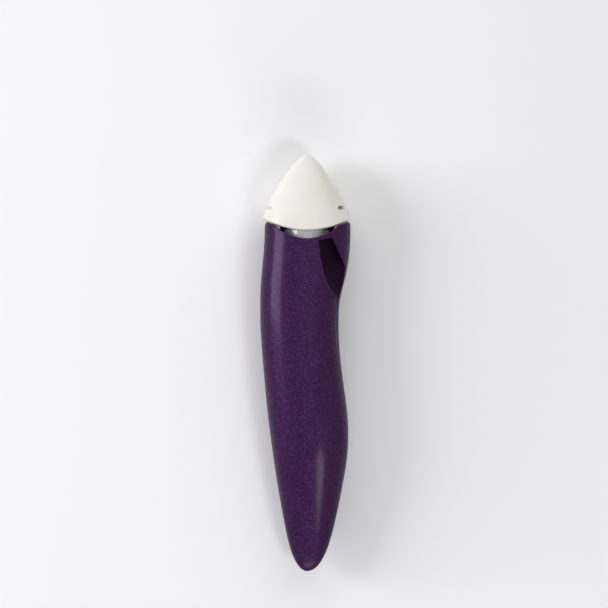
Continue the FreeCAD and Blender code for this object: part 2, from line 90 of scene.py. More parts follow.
class Spline:
    """A natural cubic spline through a table: the second slopes are solved once, and each
    piece is the cubic that has them at its two ends."""

    def __init__(self, keys: Array, values: Array) -> None:
        """Solve the spline's second slopes.

        Args:
            keys: rising positions.
            values: the value at each position.
        """
        self.keys = np.asarray(keys, float)
        self.values = np.asarray(values, float)
        step = np.diff(self.keys)
        count = len(self.keys)
        system = np.eye(count)
        right = np.zeros(count)
        rise = np.diff(self.values) / step
        inner = np.arange(1, count - 1)
        system[inner, inner - 1] = step[:-1]
        system[inner, inner] = 2 * (step[:-1] + step[1:])
        system[inner, inner + 1] = step[1:]
        right[inner] = 6 * np.diff(rise)
        self.bends = np.linalg.solve(system, right)

    def __call__(self, at: Array) -> Array:
        """Values at any positions, held at the ends.

        Args:
            at: the positions.

        Returns:
            The spline's values there.
        """
        at = np.clip(at, self.keys[0], self.keys[-1])
        piece = np.clip(np.searchsorted(self.keys, at) - 1, 0, len(self.keys) - 2)
        width = self.keys[piece + 1] - self.keys[piece]
        after = (at - self.keys[piece]) / width
        before = 1 - after
        bend = (before ** 3 - before) * self.bends[piece]
        bend = bend + (after ** 3 - after) * self.bends[piece + 1]
        return before * self.values[piece] + after * self.values[piece + 1] + bend * width ** 2 / 6


def bezier(control: Array, share: Array) -> tuple[Array, Array]:
    """Points of a plane cubic Bezier: each control point weighted by its Bernstein polynomial.

    Args:
        control: four points of two coordinates.
        share: positions along the curve, 0 to 1.

    Returns:
        The two coordinates.
    """
    points = np.asarray(control, float)
    rest = 1 - share
    weights = np.stack([rest ** 3, 3 * rest ** 2 * share, 3 * rest * share ** 2, share ** 3])
    return np.tensordot(points[:, 0], weights, 1), np.tensordot(points[:, 1], weights, 1)


class SideOutline:
    """Half-width over height of a form whose side is a cubic Bezier from its tip to its corner,
    and goes straight on below the corner."""

    SAMPLES = 600

    def __init__(self, control: Array) -> None:
        """Sample the Bezier once.

        Args:
            control: four points of half-width and height, the tip first.
        """
        control = np.asarray(control, float)
        self.half, self.height = bezier(control, np.linspace(0, 1, self.SAMPLES))
        self.corner = control[3]
        self.slope = (control[3, 0] - control[2, 0]) / (control[2, 1] - control[3, 1])

    def __call__(self, height: Array) -> Array:
        """Half-width at heights over the corner.

        Args:
            height: the heights.

        Returns:
            The half-widths there.
        """
        above = np.interp(height, self.height[::-1], self.half[::-1])
        below = self.corner[0] + self.slope * (self.corner[1] - height)
        return np.where(height < self.corner[1], below, above)


def quarter(turn: Array, fullness: float) -> tuple[Array, Array]:
    """A rounded square of unit reach, made of four cubic Bezier quarters.

    Args:
        turn: position round it in quarters: 0 right, 1 front, 2 left, 3 back.
        fullness: 0.55 gives a circle, and more gives squarer corners.

    Returns:
        Its X and Z coordinates.
    """
    share = np.mod(turn, 1.0)
    which = np.mod(np.floor(turn), 4).astype(int)
    along, up = bezier(((1, 0), (1, fullness), (fullness, 1), (0, 1)), share)
    x = np.choose(which, [along, -up, -along, up])
    z = np.choose(which, [up, along, -up, -along])
    return x, z


def rolled(distance: Array, radius: float) -> Array:
    """Inset of a rounded edge at a distance from it: the radius less its circle's height."""
    missing = np.clip(radius - distance, 0, radius)
    return radius - np.sqrt(radius ** 2 - missing ** 2)


def eased(count: int) -> Array:
    """Positions from 0 to 1 that crowd towards both ends, as a cosine does."""
    return (1 - np.cos(np.linspace(0, math.pi, count))) / 2


def halved(
    low: Array, high: Array, past: Callable[[Array], Array], steps: int,
) -> tuple[Array, Array]:
    """Close two bounds on the places where a test starts to hold, by halving the gap.

    Args:
        low: bounds at which the test fails.
        high: bounds at which it holds.
        past: the test, for whole arrays.
        steps: how often the gap is halved.

    Returns:
        The closer bounds.
    """
    for _ in range(steps):
        middle = (low + high) / 2
        beyond = past(middle)
        low, high = np.where(beyond, low, middle), np.where(beyond, middle, high)
    return low, high


# ---------------- shapes and pieces

@dataclass
class Shape:
    """Vertices in the marker's own frame, faces of four corners, and a mask over the vertices."""

    vertices: Array
    faces: Array
    mask: Optional[Array] = None

    @classmethod
    def grid(cls, points: Array, wrap: bool = False, mask: Optional[Array] = None) -> "Shape":
        """A sheet of quads over a grid of points.

        Args:
            points: rows by columns by three coordinates.
            wrap: join the last column to the first.
            mask: rows by columns of values for the vertices.

        Returns:
            The sheet.
        """
        rows, columns = points.shape[:2]
        index = np.arange(rows * columns).reshape(rows, columns)
        if wrap:
            index = np.hstack([index, index[:, :1]])
        faces = np.stack([index[:-1, :-1], index[:-1, 1:], index[1:, 1:], index[1:, :-1]], -1)
        flat = None if mask is None else mask.reshape(-1)
        return cls(points.reshape(-1, 3), faces.reshape(-1, 4), flat)

    @classmethod
    def join(cls, *shapes: "Shape") -> "Shape":
        """One shape of several, each keeping its own vertices.

        Args:
            shapes: the shapes.

        Returns:
            All of them in one.
        """
        starts = np.cumsum([0] + [len(shape.vertices) for shape in shapes[:-1]])
        masks = [np.zeros(len(s.vertices)) if s.mask is None else s.mask for s in shapes]
        return cls(
            np.vstack([shape.vertices for shape in shapes]),
            np.vstack([shape.faces + start for shape, start in zip(shapes, starts)]),
            np.concatenate(masks),
        )

    @classmethod
    def walled(
        cls, outer: Array, inner: Array, wrap: bool = False, mask: Optional[Array] = None,
    ) -> "Shape":
        """A wall between two grids of the same size, closed along all their free edges.

        Args:
            outer: the outer grid of points.
            inner: the inner one.
            wrap: the grids go all the way round.
            mask: values for the outer grid's vertices.

        Returns:
            The closed wall.
        """
        sheets = [cls.grid(outer, wrap, mask), cls.grid(inner, wrap)]
        for row in (0, -1):
            sheets.append(cls.grid(np.stack([outer[row], inner[row]]), wrap))
        if not wrap:
            for column in (0, -1):
                sheets.append(cls.grid(np.stack([outer[:, column], inner[:, column]])))
        return cls.join(*sheets)


class Turned:
    """Turned forms about the cartridge's axis or about an upright one."""

    @staticmethod
    def carried(profile: Array, steps: int) -> tuple[Array, Array, Array]:
        """A profile of radius and height carried round a circle: two ways across, and height.

        Args:
            profile: pairs of radius and height.
            steps: points round the circle.

        Returns:
            Grids of the two coordinates across, cosine first, and of the height.
        """
        angle = np.linspace(0, 2 * math.pi, steps, endpoint=False)
        radius, height = np.asarray(profile, float).T[:, :, None]
        return radius * np.cos(angle), radius * np.sin(angle), height + 0 * angle

    @classmethod
    def along_y(cls, profile: Array, steps: int) -> Shape:
        """A closed form whose profile of radius and Y is carried round the cartridge's axis."""
        x, z, y = cls.carried(profile, steps)
        return Shape.grid(np.stack([x, y, z], -1), wrap=True)

    @classmethod
    def upright(cls, profile: Array, centre_y: float, steps: int) -> Shape:
        """A closed form whose profile of radius and Z is carried round an upright axis."""
        x, y, z = cls.carried(profile, steps)
        return Shape.grid(np.stack([x, centre_y + y, z], -1), wrap=True)

    @staticmethod
    def rounded(corners: list, radius: float, steps: int = 5) -> Array:
        """A profile through corners, each rounded by a quadratic arc that starts a radius away.

        Args:
            corners: the profile's points. The first and the last stay sharp.
            radius: how far from each corner its rounding starts.
            steps: points of each rounding.

        Returns:
            The rounded profile.
        """
        points = np.asarray(corners, float)
        before, here, after = points[:-2], points[1:-1], points[2:]
        towards = before - here
        onwards = after - here
        reach_in = np.linalg.norm(towards, axis=1, keepdims=True)
        reach_out = np.linalg.norm(onwards, axis=1, keepdims=True)
        start = here + towards * np.minimum(radius / reach_in, 0.45)
        end = here + onwards * np.minimum(radius / reach_out, 0.45)
        share = np.linspace(0, 1, steps)[None, :, None]
        arc = (1 - share) ** 2 * start[:, None] + 2 * share * (1 - share) * here[:, None]
        arc = arc + share ** 2 * end[:, None]
        return np.vstack([points[:1], arc.reshape(-1, 2), points[-1:]])


class Body(Enum):
    """The bodies that pieces ride on."""

    HANDLE = "handle"
    CARTRIDGE = "cartridge"
    WHEEL = "wheel"
    CAP = "cap"


@dataclass(frozen=True)
class Workshop:
    """Makes finished pieces from shapes."""

    datum: Datum
    merge_distance: float = 1.0e-6
    crease_degrees: float = 34.0

    def mesh(self, name: str, shape: Shape) -> bpy.types.Object:
        """Put a shape into a mesh object at the origin, with doubles merged and faces outwards.

        Args:
            name: name of the object and its mesh.
            shape: the shape, whose mask becomes the attribute "zone".

        Returns:
            The linked object.
        """
        mesh = bpy.data.meshes.new(name)
        mesh.from_pydata(self.datum.place(shape.vertices).tolist(), [], shape.faces.tolist())
        if shape.mask is not None:
            smooth_shade_zone = mesh.attributes.new("smooth_shade_zone", "FLOAT", "POINT")
            smooth_shade_zone.data.foreach_set("value", shape.mask.astype(np.float32))
        editable = bmesh.new()
        editable.from_mesh(mesh)
        near = self.merge_distance
        bmesh.ops.remove_doubles(editable, verts=editable.verts, dist=near)
        bmesh.ops.dissolve_degenerate(editable, edges=editable.edges, dist=near / 10)
        bmesh.ops.recalc_face_normals(editable, faces=editable.faces)
        editable.to_mesh(mesh)
        editable.free()
        made = bpy.data.objects.new(name, mesh)
        bpy.context.scene.collection.objects.link(made)
        return made

    def cut(self, piece: bpy.types.Object, tools: list[Shape]) -> None:
        """Cut closed shapes out of a piece for good.

        Args:
            piece: the piece that is cut.
            tools: closed shapes to take away.
        """
        for tool in tools:
            cutter = self.mesh("cutter", tool)
            modifier = piece.modifiers.new("cut", "BOOLEAN")
            modifier.operation = "DIFFERENCE"
            modifier.solver = "EXACT"
            modifier.object = cutter
            graph = bpy.context.evaluated_depsgraph_get()
            whole = bpy.data.meshes.new_from_object(piece.evaluated_get(graph))
            piece.modifiers.clear()
            old, piece.data = piece.data, whole
            bpy.data.meshes.remove(old)
            old = cutter.data
            bpy.data.objects.remove(cutter)
            bpy.data.meshes.remove(old)

    def finish(
        self,
        piece: bpy.types.Object,
        body: Body,
        slot: str,
        finish: bpy.types.Material,
        node: Optional[str] = None,
    ) -> None:
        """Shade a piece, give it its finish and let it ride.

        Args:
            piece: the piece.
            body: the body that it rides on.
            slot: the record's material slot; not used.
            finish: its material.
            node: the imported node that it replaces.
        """
        piece.data.polygons.foreach_set("use_smooth", np.ones(len(piece.data.polygons), bool))
        piece.data.set_sharp_from_angle(angle=math.radians(self.crease_degrees))
        piece.data.materials.clear()
        piece.data.materials.append(finish)
        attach(piece, body.value)
        if node:
            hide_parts(node)
        log.info("%s: %d faces, rides on %s", piece.name, len(piece.data.polygons), body.value)

    @staticmethod
    def keep(node: str, finish: bpy.types.Material) -> None:
        """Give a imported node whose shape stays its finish.

        Args:
            node: the node's name.
            finish: its material.
        """
        kept = bpy.data.objects[node].data
        kept.materials.clear()
        kept.materials.append(finish)
        log.info("%s: kept, with finish %s", node, finish.name)


# ---------------- shader graph

Link = Union["Value", bpy.types.NodeSocket, float, tuple]


class Value:
    """A number that varies over a surface. Python's operators on it add Math nodes."""

    def __init__(self, tree: "Tree", socket: bpy.types.NodeSocket) -> None:
        """Wrap an output socket of a tree."""
        self.tree = tree
        self.socket = socket

    def _math(
        self, operation: str, first: Link, second: Link = 0.0, clamp: bool = False,
    ) -> "Value":
        """A Math node on two values.

        Args:
            operation: what it does.
            first: its first value.
            second: its second value.
            clamp: hold the result between 0 and 1.

        Returns:
            The result.
        """
        settings = {"operation": operation, "use_clamp": clamp}
        made = self.tree.node("ShaderNodeMath", settings, {0: first, 1: second})
        return Value(self.tree, made.outputs[0])

    def __add__(self, other: Link) -> "Value":
        """Sum."""
        return self._math("ADD", self, other)

    __radd__ = __add__

    def __sub__(self, other: Link) -> "Value":
        """Difference."""
        return self._math("SUBTRACT", self, other)

    def __rsub__(self, other: Link) -> "Value":
        """Reflected difference."""
        return self._math("SUBTRACT", other, self)

    def __mul__(self, other: Link) -> "Value":
        """Product."""
        return self._math("MULTIPLY", self, other)

    __rmul__ = __mul__

    def __truediv__(self, other: Link) -> "Value":
        """Quotient."""
        return self._math("DIVIDE", self, other)

    def __pow__(self, other: Link) -> "Value":
        """Power."""
        return self._math("POWER", self, other)

    def clamped(self) -> "Value":
        """The value held between 0 and 1."""
        return self._math("ADD", self, 0.0, clamp=True)

    def or_more(self, other: Link) -> "Value":
        """The larger of two values."""
        return self._math("MAXIMUM", self, other)

    def between(self, low: float, high: float) -> "Value":
        """0 below low, 1 above high and a straight ramp between them."""
        return ((self - low) / (high - low)).clamped()


class Tree:
    """A node tree. Every node in it is made by one method."""

    def __init__(self, tree: bpy.types.NodeTree) -> None:
        """Take over a tree and empty it."""
        self.tree = tree
        self.tree.nodes.clear()

    def node(
        self, kind: str, settings: Optional[dict] = None, inputs: Optional[dict] = None,
    ) -> bpy.types.Node:
        """Add a node: its settings first, then the values or links of its sockets.

        Args:
            kind: the node's type.
            settings: attributes such as an operation.
            inputs: values or links by socket name or number.

        Returns:
            The node.
        """
        made = self.tree.nodes.new(kind)
        for key, value in (settings or {}).items():
            setattr(made, key, value)
        for key, value in (inputs or {}).items():
            self.join(value, made.inputs[key])
        return made

    def join(self, value: Link, socket: bpy.types.NodeSocket) -> None:
        """Link or set one input socket.

        Args:
            value: what it gets.
            socket: the input.
        """
        if isinstance(value, Value):
            value = value.socket
        if isinstance(value, bpy.types.NodeSocket):
            self.tree.links.new(value, socket)
        else:
            socket.default_value = value


class Graph(Tree):
    """The node tree of one material, ending in a Principled shader."""

    def __init__(self, name: str, **constants: Union[float, tuple]) -> None:
        """Start a material.

        Args:
            name: name of the material.
            constants: values of the shader's own sockets, with _ for a space.
        """
        self.material = bpy.data.materials.new(name)
        self.material.use_nodes = True
        super().__init__(self.material.node_tree)
        self.shader = self.node("ShaderNodeBsdfPrincipled")
        for key, value in constants.items():
            self.shader.inputs[key.replace("_", " ")].default_value = value
        self.node("ShaderNodeOutputMaterial", {}, {"Surface": self.shader.outputs[0]})
        self.tree.nodes.active = self.shader

    def feed(self, name: str, value: Link) -> None:
        """Feed one of the shader's inputs."""
        self.join(value, self.shader.inputs[name])

    def vector(
        self, operation: str, first: Link, second: Link = (0.0, 0.0, 0.0), output: int = 0,
    ) -> bpy.types.NodeSocket:
        """A Vector Math node on two vectors."""
        settings = {"operation": operation}
        return self.node("ShaderNodeVectorMath", settings, {0: first, 1: second}).outputs[output]

    def place(self, scale: tuple[float, float, float] = (1.0, 1.0, 1.0)) -> bpy.types.NodeSocket:
        """Object coordinates in millimetres, times a scale along each axis."""
        where = self.node("ShaderNodeTexCoord").outputs["Object"]
        return self.vector("MULTIPLY", where, tuple(value / MM for value in scale))

    def noise(self, per_mm: float, detail: float = 3.0, stretch: tuple = (1.0, 1.0, 1.0)) -> Value:
        """Smooth noise with a number of features per millimetre."""
        inputs = {"Vector": self.place(stretch), "Scale": per_mm, "Detail": detail}
        return Value(self, self.node("ShaderNodeTexNoise", {}, inputs).outputs[0])

    def flakes(self, per_mm: float) -> tuple[Value, bpy.types.NodeSocket]:
        """Random cells: a number for each cell and its random colour.

        Args:
            per_mm: cells for each millimetre.

        Returns:
            The number and the colour.
        """
        made = self.node("ShaderNodeTexVoronoi", {}, {"Vector": self.place(), "Scale": per_mm})
        parts = self.node("ShaderNodeSeparateColor", {}, {0: made.outputs["Color"]})
        return Value(self, parts.outputs[0]), made.outputs["Color"]

    def attribute(self, name: str) -> Value:
        """A number stored on the mesh."""
        made = self.node("ShaderNodeAttribute", {"attribute_name": name})
        return Value(self, made.outputs["Fac"])

    def blend(self, factor: Link, first: Link, second: Link) -> bpy.types.NodeSocket:
        """A colour between two others."""
        made = self.node("ShaderNodeMix", {"data_type": "RGBA"}, {0: factor, 6: first, 7: second})
        return made.outputs[2]

    def bump(
        self, height: Value, depth_mm: float, normal: Optional[Link] = None,
    ) -> bpy.types.NodeSocket:
        """A normal tilted by a height, whose unit is a depth in millimetres.

        Args:
            height: the height over the surface.
            depth_mm: the depth that a height of 1 stands for.
            normal: the normal that is tilted, where it isn't the surface's own.

        Returns:
            The normal.
        """
        inputs = {"Height": height, "Distance": depth_mm * MM, "Strength": 1.0}
        if normal is not None:
            inputs["Normal"] = normal
        return self.node("ShaderNodeBump", {}, inputs).outputs[0]


def rgba(red: float, green: float, blue: float) -> tuple[float, float, float, float]:
    """An opaque linear colour."""
    return (red, green, blue, 1.0)


# ---------------- finishes

@dataclass(frozen=True)
class PearlPlastic:
    """Dark aubergine plastic with fine pearl flakes. Where the mesh's scoop weight is 1 it has no
    flakes or coat, and its colour is a darker painted shade.
    """

    base: tuple = rgba(0.0255, 0.0036, 0.0365)
    pale_flake: tuple = rgba(0.070, 0.026, 0.105)
    # painted shade: the darker colour of the scoop's floor, standing in for the shadow in that
    # hollow
    smooth_painted_shade: tuple = rgba(0.0125, 0.0034, 0.0140)
    flakes_per_mm: float = 4.2
    flake_tilt: float = 0.30

    def build(self) -> bpy.types.Material:
        """Make the material: flakes tint and tilt the surface, except on the scoop's floor, which
        takes the painted-shade colour instead.

        Returns:
            The material.
        """
        graph = Graph(
            "pearl_plastic", Coat_Roughness=0.20, Coat_IOR=1.5, Specular_IOR_Level=0.02)
        smooth_shade_zone = graph.attribute("smooth_shade_zone")
        rough_zone = 1 - smooth_shade_zone
        number, colour = graph.flakes(self.flakes_per_mm)
        fine, _ = graph.flakes(self.flakes_per_mm * 2.1)
        cloud = graph.noise(0.35, 2.0)
        bright = number.between(0.55, 1.0) ** 2 * 0.75 + fine.between(0.7, 1.0) * 0.35
        tint = (bright * (cloud * 0.8 + 0.55)).clamped()
        ground = graph.blend(tint, self.base, self.pale_flake)
        # the scoop's floor gets the painted-shade colour in place of the flaked ground
        graph.feed("Base Color", graph.blend(smooth_shade_zone, ground, self.smooth_painted_shade))
        graph.feed("Metallic", (tint * 0.55 + 0.24) * rough_zone)
        graph.feed("Roughness", rough_zone * (number * 0.10 - 0.04) + 0.44)
        graph.feed("Coat Weight", rough_zone * 0.17)
        centred = graph.vector("SUBTRACT", colour, (0.5, 0.5, 0.5))
        tilt = graph.vector("MULTIPLY", centred, rough_zone * self.flake_tilt)
        flat = graph.node("ShaderNodeNewGeometry").outputs["Normal"]
        normal = graph.vector("NORMALIZE", graph.vector("ADD", flat, tilt))
        graph.feed("Normal", graph.bump(graph.noise(2.2, 2.0), 0.010, normal))
        return graph.material


@dataclass(frozen=True)
class WhitePlastic:
    """White or cream moulded plastic with a faint mould texture."""

    name: str
    base: tuple
    deep: tuple
    roughness: float
    grain_depth: float

    def build(self) -> bpy.types.Material:
        """Make the material: slow colour clouds, fine mould grain and slightly uneven gloss.

        Returns:
            The material.
        """
        graph = Graph(
            self.name, Coat_Weight=0.05, Coat_Roughness=0.12, Specular_IOR_Level=0.20,
            Subsurface_Weight=0.12, Subsurface_Radius=(1.0, 0.85, 0.6), Subsurface_Scale=0.0015)
        cloud = graph.noise(0.12, 3.0)
        speck = graph.noise(3.0, 2.0)
        graph.feed("Base Color", graph.blend(cloud.between(0.35, 0.75), self.base, self.deep))
        graph.feed("Roughness", speck * 0.08 + self.roughness)
        graph.feed("Normal", graph.bump(graph.noise(1.1, 3.0) + speck * 0.35, self.grain_depth))
        return graph.material


@dataclass(frozen=True)
class ClearPlastic:
    """Clear tube plastic with faint drawing lines along it."""

    tint: tuple = rgba(0.93, 0.94, 0.94)
    worn: tuple = rgba(0.86, 0.87, 0.88)

    def build(self) -> bpy.types.Material:
        """Make the material: a refracting shader whose gloss and normal follow the lines.

        Returns:
            The material.
        """
        graph = Graph("clear_plastic", IOR=1.49, Transmission_Weight=1.0)
        lines = graph.noise(0.9, 2.0, (1.0, 0.03, 1.0))
        wear = graph.noise(0.25, 4.0)
        graph.feed("Base Color", graph.blend(wear.between(0.45, 0.8), self.tint, self.worn))
        graph.feed("Roughness", wear.between(0.5, 0.8) * 0.10 + 0.04)
        graph.feed("Normal", graph.bump(lines, 0.004))
        return graph.material


@dataclass(frozen=True)
class ChalkPowder:
    """Packed chalk powder: matt, grained and slightly mottled."""

    pale: tuple = rgba(0.86, 0.855, 0.83)
    shade: tuple = rgba(0.68, 0.67, 0.64)

    def build(self) -> bpy.types.Material:
        """Make the material: grains and clumps in colour and height.

        Returns:
            The material.
        """
        graph = Graph("chalk_powder", Specular_IOR_Level=0.15)
        clump = graph.noise(0.9, 5.0)
        grain = graph.noise(9.0, 2.0)
        mottle = (clump * 0.6 + grain * 0.4).between(0.35, 0.7)
        graph.feed("Base Color", graph.blend(mottle, self.shade, self.pale))
        graph.feed("Roughness", grain * 0.1 + 0.88)
        graph.feed("Normal", graph.bump(clump * 0.7 + grain * 0.3, 0.12))
        return graph.material


@dataclass(frozen=True)
class BrushedSteel:
    """Bright steel, brushed in circles about the wheel's axle, with a smear of chalk. wheel_y is
    the axle's Y in millimetres, and its X is 0."""

    wheel_y: float
    rings_per_mm: float = 14.0
    pale: tuple = rgba(0.60, 0.59, 0.585)
    dark: tuple = rgba(0.36, 0.35, 0.35)
    chalk: tuple = rgba(0.80, 0.79, 0.77)

    def build(self) -> bpy.types.Material:
        """Make the material: rings from noise on the distance to the axle, and chalk dust.

        Returns:
            The material.
        """
        graph = Graph("brushed_steel")
        centred = graph.vector("SUBTRACT", graph.place(), (0.0, self.wheel_y, 0.0))
        flat = graph.vector("MULTIPLY", centred, (1, 1, 0))
        radius = Value(graph, graph.vector("LENGTH", flat, output=1))
        rings = graph.node(
            "ShaderNodeTexNoise", {"noise_dimensions": "1D"},
            {"W": radius, "Scale": self.rings_per_mm, "Detail": 3.0})
        ring = Value(graph, rings.outputs[0])
        dust = graph.noise(0.8, 4.0).between(0.5, 0.72)
        steel = graph.blend(ring, self.dark, self.pale)
        graph.feed("Base Color", graph.blend(dust * 0.45, steel, self.chalk))
        graph.feed("Metallic", 0.95 - dust * 0.6)
        graph.feed("Roughness", ring * 0.12 + dust * 0.3 + 0.26)
        graph.feed("Normal", graph.bump(ring, 0.006))
        return graph.material


@dataclass(frozen=True)
class StudioFloor:
    """The pale floor: a faintly mottled matt sheet."""

    shade: tuple = rgba(0.93, 0.93, 0.93)
    mottle: tuple = rgba(0.905, 0.905, 0.91)

    def build(self) -> bpy.types.Material:
        """Make the floor's material.

        Returns:
            The material.
        """
        graph = Graph("studio_floor", Specular_IOR_Level=0.1)
        cloud = graph.noise(0.02, 2.0)
        graph.feed("Base Color", graph.blend(cloud * 0.3, self.shade, self.mottle))
        graph.feed("Roughness", cloud * 0.1 + 0.8)
        return graph.material


# ---------------- seat shared by all

@dataclass(frozen=True)
class Seat:
    """The arc on which the cap, the nose, the tube and the handle's mouth meet."""

    radius: float = 22.4
    gap: float = 0.35

    def height(self, x: Array, gap: float = 0.0) -> Array:
        """Y of the arc at X: the drum's centre less the height of its circle, grown by a gap."""
        across = np.clip(x, -self.radius, self.radius)
        return self.radius - np.sqrt((self.radius + gap) ** 2 - across ** 2)


# ---------------- handle

class Half(Enum):
    """The two moulded shells of the handle."""

    FRONT = 1
    BACK = -1


@dataclass
class Handle:
    """The handle: two lofted shells with a wall, a coped mouth, a finger scoop and guide ribs."""

    seat: Seat
    core: float = 8.3
    wall: float = 1.0
    length: float = 89.5
    tail: float = 34.5
    inner_tail_start: float = 2.0
    shoulder: float = 2.75
    rim_round: float = 1.4
    fullness: float = 0.64
    land_depth: float = 0.45
    notch_radius: float = 12.1
    notch_depth: float = 2.1
    guide_radius: float = 7.3
    stop_back: float = 56.5
    mouth_round: float = 0.28
    parting_round: float = 0.14
    rib_thickness: float = 1.2
    rib_count: int = 5
    rib_first: float = 6.0
    rib_last: float = 51.0
    scoop_top_left: tuple = (0.0, -3.2)
    scoop_top_right: tuple = (6.5, -1.9)
    scoop_corner: tuple = (9.7, -8.8)
    scoop_kink: float = -17.4
    scoop_hollow: float = 0.05
    scoop_deep: float = 23.5
    lip_height: float = 0.10
    lip_width: float = 0.30
    # share of the scoop's flake-free finish and painted shade that is kept below the kink, fading
    # away down the handle
    kink_shade_zone: float = 0.35
    ramp: float = 1.5
    tail_rows: int = 60
    barrel_rows: int = 121
    rim_rows: int = 26
    rim_reach: float = 2.5
    front_columns: tuple = (12, 52, 74)
    back_columns: int = 120
    # Share of the length from the tail tip, then how far the left, right, front and back swell
    # beyond the core
    swell_table: tuple = (
        (0.000, -0.3, 1.8, -2.2, -2.6),
        (0.055, -0.4, 1.3, -2.2, -2.5),
        (0.125, -0.6, 1.1, -1.8, -1.9),
        (0.232, -0.2, 1.5, -0.9, -0.8),
        (0.370, 1.0, 2.5, 0.4, 0.3),
        (0.450, 1.9, 2.4, 0.8, 0.6),
        (0.550, 2.8, 1.3, 1.0, 0.75),
        (0.640, 3.5, 0.35, 1.1, 0.85),
        (0.740, 4.0, 0.0, 1.1, 0.85),
        (0.800, 4.0, 0.4, 1.0, 0.80),
        (0.870, 3.7, 1.9, 0.9, 0.75),
        (0.940, 3.1, 2.9, 0.8, 0.60),
        (1.050, 2.8, 3.1, 0.6, 0.40),
    )
    # Distance back from the seat, X of the scoop's crease and its depth there, X and Z of its foot
    scoop_table: tuple = (
        (1.0, 2.92, 0.12, 22.0, 0.4),
        (4.5, 3.15, 0.12, 16.0, 0.4),
        (9.0, 3.9, 0.12, 11.9, 2.7),
        (13.8, 5.3, 0.12, 10.1, 1.9),
        (17.4, 7.05, 0.12, 8.9, 2.4),
        (23.5, 7.4, 0.12, 8.9, 0.9),
        (29.0, 7.6, 0.0, 9.2, 0.3),
        (33.0, 7.8, -0.72, 10.0, 0.2),
    )

    def __post_init__(self) -> None:
        """Solve the tables' splines."""
        swell = np.array(self.swell_table)
        self.swells = [Spline(swell[:, 0], swell[:, column]) for column in (1, 2, 3, 4)]
        scoop = np.array(self.scoop_table)
        columns = [Spline(scoop[:, 0], scoop[:, column]) for column in (1, 2, 3, 4)]
        self.crease, self.step, self.foot_x, self.foot_z = columns
        share = np.linspace(0, 1, 400)
        x, z = quarter(share, self.fullness)
        self.unit_x, self.unit_z, self.unit_share = x[::-1], z[::-1], share[::-1]

    def reaches(self, station: Array, inner: bool) -> list[Array]:
        """Left, right, front and back reach at distances from the tail tip.

        The core plus its swell is closed at the tail by an ellipse and rolled in at the shoulder.

        Args:
            station: distances from the tail tip.
            inner: for the inside of the wall.

        Returns:
            The four reaches.
        """
        start = self.inner_tail_start if inner else 0.0
        behind = 1 - np.clip((station - start) / (self.tail - start), 0, 1)
        closing = np.sqrt(1 - behind ** 2)
        left_over = self.length + self.shoulder - station
        roll = rolled(np.clip(left_over, 0, None), self.rim_round)
        wall = self.wall if inner else 0.0
        core = self.core - wall
        share = station / self.length
        return [(core + swell(share)) * closing - roll for swell in self.swells]

    def section(
        self, station: Array, turn: Array, half: Half, inner: bool, inset: Array,
    ) -> tuple[Array, Array]:
        """X and Z on the handle: a rounded square's quarters, stretched to the four reaches.

        Args:
            station: distances from the tail tip.
            turn: 0 on the right parting line, 1 at the crown, 2 on the left one.
            half: which shell.
            inner: for the inside of the wall.
            inset: how far the edge's rounding lies inside.

        Returns:
            X and Z, with Z counted outwards from the parting plane.
        """
        left, right, front, back = self.reaches(station, inner)
        x, z = quarter(np.clip(turn, 0, 1.999999), self.fullness)
        side = np.where(x > 0, right, left)
        out = front if half is Half.FRONT else back
        return x * np.clip(side - inset, 0, None), z * np.clip(out - inset, 0, None)

    def mouth(self, x: Array) -> Array:
        """Y of the mouth's edge: the seat arc with its gap, and the thumb notch below it.

        Args:
            x: where across the handle.

        Returns:
            Y of the edge there.
        """
        arc = self.seat.height(x, self.seat.gap)
        inside = np.clip(self.notch_radius ** 2 - x ** 2, 0, None)
        notch = self.notch_radius - self.notch_depth - np.sqrt(inside)
        return np.minimum(arc, np.where(inside > 0, notch, arc))

    def turn_at(self, x: Array, station: Array) -> Array:
        """The turn on the right quarter that has a given X, looked up on a unit quarter."""
        right = self.reaches(station, False)[1]
        return np.interp(x / np.maximum(right, 0.01), self.unit_x, self.unit_share)

    def edge_x(self, y: Array) -> Array:
        """X of the scoop's straight right edge, a line through its two corners."""
        (x_top, y_top), (x_low, y_low) = self.scoop_top_right, self.scoop_corner
        return x_top + (y - y_top) * (x_low - x_top) / (y_low - y_top)

    def top_y(self, x: Array) -> Array:
        """Y of the scoop's top edge, a line through its two top corners.

        Args:
            x: where across the handle.

        Returns:
            Y of the line there, held at its corners.
        """
        (x_left, y_left), (x_right, y_right) = self.scoop_top_left, self.scoop_top_right
        along = (np.clip(x, x_left, x_right) - x_left) / (x_right - x_left)
        return y_left + along * (y_right - y_left)

    def edge_turn(self, station: Array, crease: Array) -> Array:
        """Turn of the scoop's right edge: its straight edge, and below that the line where its
        floor runs out of the flank, found by halving an interval.

        Args:
            station: distances from the tail tip.
            crease: turn of the crease there.

        Returns:
            The turn of the edge.
        """
        y = station - self.length

        def above(turn: Array) -> Array:
            """Whether the unsunk surface lies over the scoop's floor."""
            x, z = self.section(station, turn, Half.FRONT, False, 0.0)
            return z > self.floor(x, y)

        low, _ = halved(np.zeros_like(station), crease - 0.05, above, 26)
        straight = self.turn_at(self.edge_x(y), station)
        return np.clip(np.maximum(straight, low), 0.02, crease - 0.05)

    def spread(self, column: Array, station: Array, half: Half) -> Array:
        """Turn of each column: on the front, whole numbers fall on the scoop's edge and crease.

        Args:
            column: 0 right parting line, 1 scoop edge, 2 scoop crease, 3 left parting line.
            station: distances from the tail tip.
            half: which shell.

        Returns:
            The turn, 0 to 2.
        """
        if half is Half.BACK:
            return column * 2 / 3
        crease = np.clip(self.turn_at(self.crease(self.length - station), station), 0.14, None)
        edge = self.edge_turn(station, crease)
        low = column * edge
        middle = edge + (column - 1) * (crease - edge)
        high = crease + (column - 2) * (2 - crease)
        return np.where(column <= 1, low, np.where(column <= 2, middle, high))

